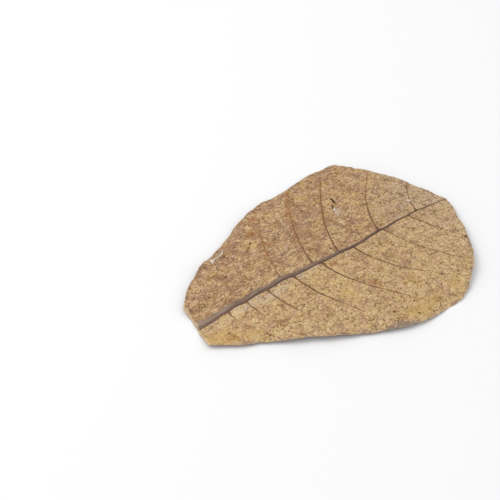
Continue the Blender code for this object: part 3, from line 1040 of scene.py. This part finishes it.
class Graph:
    """The node tree of one material."""

    def __init__(self, name: str) -> None:
        """Start a material with its shader and output."""
        self.material = bpy.data.materials.new(name)
        self.material.use_nodes = True
        self.tree = self.material.node_tree
        self.shader = self.tree.nodes["Principled BSDF"]

    def feed(self, socket: bpy.types.NodeSocket, value: Any) -> None:
        """Link a signal to a socket, or set the socket to a value."""
        if isinstance(value, Signal):
            self.tree.links.new(value.socket, socket)
        elif socket.type == "RGBA":
            socket.default_value = (*value, 1.0)
        else:
            socket.default_value = value

    def node(self, kind: str, settings: dict, values: dict, output: Any = 0) -> Signal:
        """Add a node.

        Args:
            kind: the node's type.
            settings: its own settings, set first.
            values: a number, colour or signal for each input, by name or number.
            output: the output to use, by name or number.

        Returns:
            The chosen output.
        """
        node = self.tree.nodes.new(kind)
        for name, value in settings.items():
            setattr(node, name, value)
        for key, value in values.items():
            self.feed(node.inputs[key], value)
        return Signal(self, node.outputs[output])

    def math(self, operation: str, first: Any, second: Any, clamp: bool = False) -> Signal:
        """A Math node on two values."""
        settings = {"operation": operation, "use_clamp": clamp}
        return self.node("ShaderNodeMath", settings, {0: first, 1: second})

    def attribute(self, name: str) -> Signal:
        """A named mask of the mesh."""
        return self.node("ShaderNodeAttribute", {"attribute_name": name}, {}, "Fac")

    def place(self) -> Signal:
        """The point on the object, in millimetres."""
        place = self.node("ShaderNodeTexCoord", {}, {}, "Object")
        return self.stretched(place, (1 / MM,) * 3)

    def shifted(self, place: Signal, by: Any, times: float = 1.0) -> Signal:
        """A point moved by a vector or by a colour, times a factor."""
        settings = {"operation": "MULTIPLY_ADD"}
        return self.node("ShaderNodeVectorMath", settings, {0: by, 1: (times,) * 3, 2: place})

    def stretched(self, place: Signal, by: tuple[float, float, float]) -> Signal:
        """A point with each of its values multiplied."""
        return self.node("ShaderNodeVectorMath", {"operation": "MULTIPLY"}, {0: place, 1: by})

    def noise(
        self, place: Signal, size: float, detail: float = 2, roughness: float = 0.5, shift: Any = None,
        output: str = "Fac",
    ) -> Signal:
        """Smooth noise with bumps of about this size in millimetres, its pattern moved by a shift."""
        if shift:
            place = self.shifted(place, shift)
        values = {"Vector": place, "Scale": 1 / size, "Detail": detail, "Roughness": roughness}
        return self.node("ShaderNodeTexNoise", {}, values, output)

    def cells(self, place: Signal, size: float, feature: str = "F1", output: str = "Distance") -> Signal:
        """Voronoi cells of about this size in millimetres."""
        values = {"Vector": place, "Scale": 1 / size}
        return self.node("ShaderNodeTexVoronoi", {"feature": feature}, values, output)

    def cell_values(self, place: Signal, size: float) -> Signal:
        """One chance value for each of those cells."""
        return self.cells(place, size, output="Color") * 1.0

    def mix(self, first: Any, second: Any, factor: Any) -> Signal:
        """One colour turned into another by a factor from 0 to 1."""
        return self.node("ShaderNodeMix", {"data_type": "RGBA"}, {0: factor, 6: first, 7: second}, 2)

    def laid(self, colour: Any, layers: list[Layer]) -> Signal:
        """A colour with others laid on it in turn, each by its own factor."""
        for other, factor in layers:
            colour = self.mix(colour, other, factor)
        return colour

    def finish(self, colour: Signal, roughness: Signal, height: Signal, depth: float) -> bpy.types.Material:
        """Connect colour, roughness and a bump of this depth in metres to the shader."""
        self.feed(self.shader.inputs["Base Color"], colour)
        self.feed(self.shader.inputs["Roughness"], roughness)
        bump = self.node("ShaderNodeBump", {}, {"Height": height, "Distance": depth, "Strength": 1.0})
        self.feed(self.shader.inputs["Normal"], bump)
        return self.material


@dataclass(frozen=True)
class LeafPaint:
    """The dried blade's colours."""

    olive: Colour = srgb(208, 178, 124)
    blush: Colour = srgb(200, 163, 124)
    dusk: Colour = srgb(160, 124, 88)
    pale: Colour = srgb(224, 196, 152)
    pale_far: Colour = srgb(218, 188, 148)
    brown: Colour = srgb(124, 90, 52)
    umber: Colour = srgb(96, 68, 46)
    mauve: Colour = srgb(150, 113, 92)
    rust: Colour = srgb(150, 96, 50)
    vein: Colour = srgb(98, 68, 50)
    vein_thin: Colour = srgb(134, 98, 60)
    lavender: Colour = srgb(204, 188, 172)
    gold: Colour = srgb(208, 170, 98)
    squiggle: Colour = srgb(104, 74, 52)
    # Greyish mottling, and painted shade where the near margin turns down and in a band along the rim.
    grey_and_shade: Colour = srgb(134, 120, 114)
    rib: Colour = srgb(116, 94, 80)
    # Pale strands and cut end of the midrib, and a painted highlight on its far side.
    rib_pale_and_highlight: Colour = srgb(168, 150, 130)
    # Dark strands and tip of the midrib, and painted shade on its near side.
    rib_dark_and_shade: Colour = srgb(86, 62, 52)
    # The pale cut base, and a painted highlight along the margin's rim.
    cut: Colour = srgb(222, 198, 160)
    smooth: Colour = srgb(142, 92, 58)
    smooth_dark: Colour = srgb(108, 66, 44)


class DryBlade(Graph):
    """The finish of the dried blade on both faces, laid on layer by layer."""

    DEPTH = 0.16 * MM
    CELLS = (2.4, 1.3)  # sizes of the coarse and the fine net, in millimetres
    SPOT_GAP = 2.3

    def __init__(self, paint: LeafPaint) -> None:
        """Start the material, with the masks and noises that its layers share."""
        super().__init__("dried_blade")
        self.paint = paint
        self.at = self.place()
        self.grown = self.node("ShaderNodeUVMap", {"uv_map": "grown_map"}, {})
        self.from_base = self.node("ShaderNodeSeparateXYZ", {}, {0: self.grown}, "X")
        self.far, self.vein, self.rib, self.halo, self.ribbed = (
            self.attribute(name) for name in ("far", "vein", "rib", "halo", "ribbed")
        )
        self.patch = self.noise(self.at, 5, 3, 0.62, (31, 7, 3))
        self.hue = self.noise(self.at, 4.5, 3, 0.6, (9, 61, 8))
        self.fleck = self.noise(self.at, 0.95, 2, 0.6, (5, 50, 9))
        self.crumb = self.noise(self.at, 1.1, 2, 0.6, (2, 8, 70))
        self.break_up = self.noise(self.at, 2, 4, 0.65)
        self.gaps = self.noise(self.at, 1.7, 2, 0.6, (3, 3, 60))
        self.drift = self.noise(self.at, 2.2, output="Color")
        self.strands = self.noise(self.stretched(self.grown, (0.08, 1.8, 1)), 1, 3, 0.65)
        self.loose = self.shifted(self.at, self.drift, 1.3)
        self.tone = self.speckle_tone()
        self.net = self.finest_net()

    def speckle_tone(self) -> Signal:
        """How dark the speckle is: cells, flecks, and the rungs that run from vein to vein."""
        coarse, fine = (self.cell_values(self.loose, size) for size in self.CELLS)
        rung_at = self.shifted(self.grown, self.noise(self.at, 6, 3, 0.55, output="Color"), 5)
        rungs = self.noise(self.stretched(rung_at, (1 / 3.6, 1 / 1.1, 1)), 1, 2, 0.6)
        tone = coarse.sway(0.4) + fine.sway(0.4) + self.fleck.sway(2)
        return tone + rungs.sway(0.8 + self.far * 0.9) + self.patch.sway(0.8)

    def finest_net(self) -> Signal:
        """The net of finest veins, 1 on its lines."""
        coarse, fine = (self.cells(self.loose, size, "DISTANCE_TO_EDGE") for size in self.CELLS)
        return coarse.rise(0.1, 0).most(fine.rise(0.12, 0) * 0.5)

    def ground(self) -> list[Layer]:
        """The blade's own colour, darker on the far half, with mauve and golden clouds."""
        paint, far = self.paint, self.far
        wide = self.noise(self.at, 22)
        bruise = self.noise(self.at, 6, 3, 0.6, (44, 4, 9))
        return [
            (paint.blush, (self.hue + far * 0.06).rise(0.4, 0.6)),
            (paint.dusk, (far * 0.42 + self.patch.sway(2) + wide.sway(1.4)).clip()),
            (paint.olive, far * self.from_base.rise(95, 160) * 0.4),
            (paint.mauve, (bruise + self.crumb.sway(0.5) + far * 0.09).rise(0.56, 0.73) * 0.55),
            (paint.gold, bruise.rise(0.48, 0.36) * (0.25 + far * 0.2)),
        ]

    def speckle(self) -> list[Layer]:
        """Pale and dark speckle, the net, broken here and there, and scattered spots."""
        paint, far, tone, net = self.paint, self.far, self.tone, self.net
        broken = self.noise(self.at, 2.4, 3, 0.6, (17, 1, 33)).rise(0.5, 0.6)
        spot_at = self.shifted(self.at, (70, 3, 1))
        spots, chance = self.cells(spot_at, self.SPOT_GAP), self.cell_values(spot_at, self.SPOT_GAP)
        shade = self.mix(paint.brown, paint.mauve, (self.hue + far * 0.04).rise(0.45, 0.6) * 0.7)
        return [
            (self.mix(paint.pale, paint.pale_far, far), tone.rise(-0.04, -0.5) * 0.9),
            (paint.lavender, self.from_base.rise(110, 158) * (0.14 + far * 0.12)),
            (paint.pale, (1 - far) * self.attribute("out").rise(0.3, 0.9) * 0.12),
            (shade, tone.rise(0.03, 0.5) * 0.9),
            (paint.brown, net * 0.42),
            (paint.squiggle, (net * broken).rise(0.15, 0.8) * (0.58 + far * 0.22)),
            (paint.umber, spots.rise(0.3, 0.14) * chance.rise(0.62, 0.72) * 0.7),
            (paint.pale, spots.rise(0.26, 0.12) * chance.rise(0.34, 0.26) * 0.7),
        ]

    def soft_patches(self) -> list[Layer]:
        """The soft patches, the greyish ones partly painted shade, the pale scuffs, and the rust that has
        spread beside some veins.
        """
        paint, tone, crumb, break_up = self.paint, self.tone, self.crumb, self.break_up
        layers = []
        for tint, marking, most in (
            (Tint.GOLD, paint.gold, 0.5),
            # Greyish patches, partly painted shade by the turned-down near margin.
            (Tint.GREY, paint.grey_and_shade, 0.7),
            (Tint.MAUVE, paint.mauve, 0.6),
            (Tint.RUST, paint.rust, 0.7),
        ):
            cover = (self.attribute(tint.value) + break_up.sway(1.3) + crumb.sway(1.2)).rise(0.25, 0.85)
            layers.append((marking, cover * (tone * -0.5 + 1).clip() * most))
        # Dark specks in the greyish patches, which are partly painted shade.
        grey_specks = self.attribute(Tint.GREY.value).rise(0.3, 0.8) * crumb.rise(0.5, 0.64)
        scuffed = (self.attribute(Tint.PALE.value) + crumb.sway(2) + break_up.sway(0.8)).rise(0.4, 1)
        halo = (self.halo + break_up.sway(2) + crumb.sway(2.6)).rise(0.3, 0.9)
        flank = (self.attribute("flank") + break_up.sway(2.6) + self.hue.sway(2.4)).rise(0.7, 1.15)
        return [
            *layers,
            (paint.squiggle, grey_specks * 0.4),
            (self.mix(paint.pale, paint.lavender, self.from_base.rise(20, 32)), scuffed * 0.7),
            (paint.rust, halo * (tone * -0.6 + 0.9).clip() * 0.7),
            (paint.lavender, flank * 0.6),
        ]

    def veins(self) -> list[Layer]:
        """The side veins, worn away in places, and rusty where rust has spread."""
        paint, vein = self.paint, self.vein
        worn = self.gaps.sway(0.7) + self.crumb.sway(0.5) + self.hue.sway(1.3)
        line = (vein + worn * vein.rise(0, 0.3)).rise(0.16, 0.62)
        thin = self.mix(paint.vein_thin, paint.rust, self.halo.rise(0.05, 0.5) * 0.7)
        return [
            (self.mix(thin, paint.vein, vein.rise(0.4, 0.9)), line * 0.9),
            (paint.vein, self.attribute("axil").rise(0.3, 1) * 0.5),
        ]

    def midrib(self) -> Layer:
        """The midrib's strands, palest at its cut end, with a painted highlight on its far side and painted
        shade on its near side.
        """
        paint, strands, from_base = self.paint, self.strands, self.from_base
        across = self.attribute("rib_across")
        blotch = self.noise(self.stretched(self.grown, (0.3, 0.8, 1)), 1)
        # Pale strands kept off the near side: a painted highlight on the midrib's far side, which faces the
        # lamp.
        light = strands.rise(0.44, 0.6) * across.rise(-0.85, 0) * from_base.rise(170, 20)
        rib = self.laid(
            paint.rib,
            [
                (paint.rib_pale_and_highlight, (light * 0.8 + from_base.rise(26, 3) * 0.5).clip()),
                (paint.rib_dark_and_shade, strands.rise(0.48, 0.38) * 0.85),
                (paint.mauve, blotch.rise(0.47, 0.62) * 0.5),
                # Painted shade along the midrib's near side.
                (paint.rib_dark_and_shade, across.rise(-0.45, -0.95) * 0.6),
                (paint.rib_dark_and_shade, from_base.rise(60, 140) * 0.5),
            ],
        )
        return rib, (self.rib + self.crumb.sway(0.5)).rise(0.3, 0.7)

    def edges(self) -> list[Layer]:
        """The rim's greyish band, partly painted shade, and its dark ring, a painted highlight along the
        margin, the pale cut faces at the base, the dark dots, and painted shade around the slits.
        """
        paint, crumb = self.paint, self.crumb
        edge = self.attribute("edge") + self.gaps.sway(0.7)
        layers = [
            # A greyish band just inside the margin, partly painted shade where the margin turns down.
            (paint.grey_and_shade, edge.rise(1.9, 0.8) * self.patch.rise(0.42, 0.6) * 0.5),
            (paint.umber, edge.rise(0.9, 0.5) * crumb.rise(0.5, 0.62) * 0.5),
            # A painted highlight along the margin's rim.
            (paint.cut, edge.rise(0.4, 0.15) * 0.5),
            (paint.cut, (self.from_base - self.far * 0.5 + crumb.sway(1.6)).rise(1, 0.4) * 0.65),
        ]
        flat = self.stretched(self.shifted(self.at, self.drift, 0.7), (1, 1, 0))
        for x, y, radius in DARK_DOTS:
            at = (x - PLAN_SHIFT[0] / MM, y - PLAN_SHIFT[1] / MM, 0)
            near = self.node("ShaderNodeVectorMath", {"operation": "DISTANCE"}, {0: flat, 1: at}, "Value")
            layers.append((paint.umber, near.rise(1.15 * radius, 0.5 * radius) * 0.85))
        # Painted shade around the slits, standing for the dark gap under them.
        return [*layers, (paint.umber, self.attribute("torn").rise(0.5, 0.9) * 0.8)]

    def underside(self) -> list[Layer]:
        """The smooth face that lies down: mottled, with paler sunken veins."""
        paint = self.paint
        return [
            (paint.smooth_dark, (self.patch + self.fleck.sway(0.8)).rise(0.45, 0.62)),
            (paint.dusk, (self.vein + self.rib * 0.7).clip() * 0.6),
            (paint.dusk, self.net * 0.15),
        ]

    def build(self) -> bpy.types.Material:
        """Lay on every layer.

        Returns:
            The material, for both faces of the blade.
        """
        paint = self.paint
        layers = [*self.ground(), *self.speckle(), *self.soft_patches(), *self.veins(), self.midrib()]
        upper = self.laid(paint.olive, [*layers, *self.edges()])
        colour = self.mix(self.laid(paint.smooth, self.underside()), upper, self.ribbed)
        height = self.net * 0.35 + self.fleck * 0.8 - self.tone * 0.5 + self.strands * self.rib * 1.4
        roughness = 0.6 + self.ribbed * 0.2 + self.fleck.sway(0.2)
        self.shader.inputs["Specular IOR Level"].default_value = 0.3
        return self.finish(colour, roughness, height, self.DEPTH)


@dataclass(frozen=True)
class PaleSkin:
    """The finish of the torn shreds: thin bleached skin."""

    light: Colour = srgb(222, 208, 194)
    dull: Colour = srgb(186, 164, 140)
    depth: float = 0.04 * MM

    def material(self) -> bpy.types.Material:
        """Build the node tree.

        Returns:
            The material, for all the shreds.
        """
        g = Graph("pale_skin")
        place = g.place()
        cloud = g.noise(place, 1.4, 3, 0.6)
        grain = g.noise(place, 0.4, 2, 0.6, (8, 2, 4))
        colour = g.mix(self.light, self.dull, (cloud + grain.sway(0.5)).rise(0.42, 0.66))
        roughness = 0.75 + grain.sway(0.2)
        return g.finish(colour, roughness, grain, self.depth)


@dataclass
class Studio:
    """The plain floor, the soft light and the photograph's camera."""

    azimuth: float = -34.51
    elevation: float = 45.0
    distance: float = 0.6528
    look_at: tuple[float, float, float] = (-0.02835, 0.03263, 0.0)
    lens: float = 85.0
    floor_size: float = 6.0
    floor_shade: float = 0.93
    sky: float = 0.86
    sky_colour: Colour = (0.985, 0.992, 1.0)
    key_colour: Colour = (1.0, 0.985, 0.96)
    key_power: float = 5.4
    key_size: float = 0.9
    key_from: tuple[float, float, float] = (-0.58, 0.65, 1.05)

    def floor(self) -> None:
        """A wide pale floor that the leaf lies on."""
        floor = new_shape(bpy.ops.mesh.primitive_plane_add, "studio_floor", size=self.floor_size)
        g = Graph("pale_floor")
        g.shader.inputs["Base Color"].default_value = (self.floor_shade,) * 3 + (1.0,)
        g.shader.inputs["Roughness"].default_value = 0.9
        g.shader.inputs["Specular IOR Level"].default_value = 0.0
        floor.data.materials.append(g.material)

    def light(self) -> None:
        """A white sky and one large soft lamp, up, behind and to the left."""
        world = bpy.data.worlds.new("studio_sky")
        world.use_nodes = True
        backdrop = world.node_tree.nodes["Background"]
        backdrop.inputs["Color"].default_value = (*self.sky_colour, 1.0)
        backdrop.inputs["Strength"].default_value = self.sky
        bpy.context.scene.world = world
        lamp = bpy.data.lights.new("key_lamp", "AREA")
        lamp.shape = "DISK"
        lamp.size = self.key_size
        lamp.energy = self.key_power
        lamp.color = self.key_colour
        key = bpy.data.objects.new("key_lamp", lamp)
        key.location = self.key_from
        key.rotation_euler = (-Vector(self.key_from)).to_track_quat("-Z", "Y").to_euler()
        bpy.context.scene.collection.objects.link(key)

    def camera(self) -> None:
        """The camera that frames the leaf as the photograph does."""
        turn, up = math.radians(self.azimuth), math.radians(self.elevation)
        back = Vector((math.sin(turn) * math.cos(up), -math.cos(turn) * math.cos(up), math.sin(up)))
        data = bpy.data.cameras.new("photo_camera")
        data.lens = self.lens
        data.clip_start, data.clip_end = 0.01, 20.0
        camera = bpy.data.objects.new("photo_camera", data)
        camera.location = Vector(self.look_at) + back * self.distance
        camera.rotation_euler = (-back).to_track_quat("-Z", "Y").to_euler()
        bpy.context.scene.collection.objects.link(camera)
        bpy.context.scene.camera = camera

    def build(self) -> None:
        """Set up floor, light and camera, and show colours as they are."""
        self.floor()
        self.light()
        self.camera()
        bpy.context.scene.view_settings.view_transform = "Standard"


def finish_piece(piece: Piece, material: bpy.types.Material) -> None:
    """Give a piece its material, let it ride on the leaf's body, and log it."""
    piece.data.materials.clear()
    piece.data.materials.append(material)
    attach(piece, BODY)
    log.info("%s: %d faces", piece.name, len(piece.data.polygons))


def main() -> None:
    """Build every piece in order."""
    logging.basicConfig(level=logging.INFO, format="%(name)s: %(message)s")
    Studio().build()
    log.info("studio: floor, light and camera")
    blade = Blade().build()
    finish_piece(blade, DryBlade(LeafPaint()).build())
    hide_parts(NODE)
    ground = BVHTree.FromPolygons(
        [vertex.co for vertex in blade.data.vertices], [face.vertices for face in blade.data.polygons]
    )
    skin = PaleSkin().material()
    for shred in SHREDS:
        finish_piece(shred.build(ground), skin)


if __name__ == "__main__":
    main()
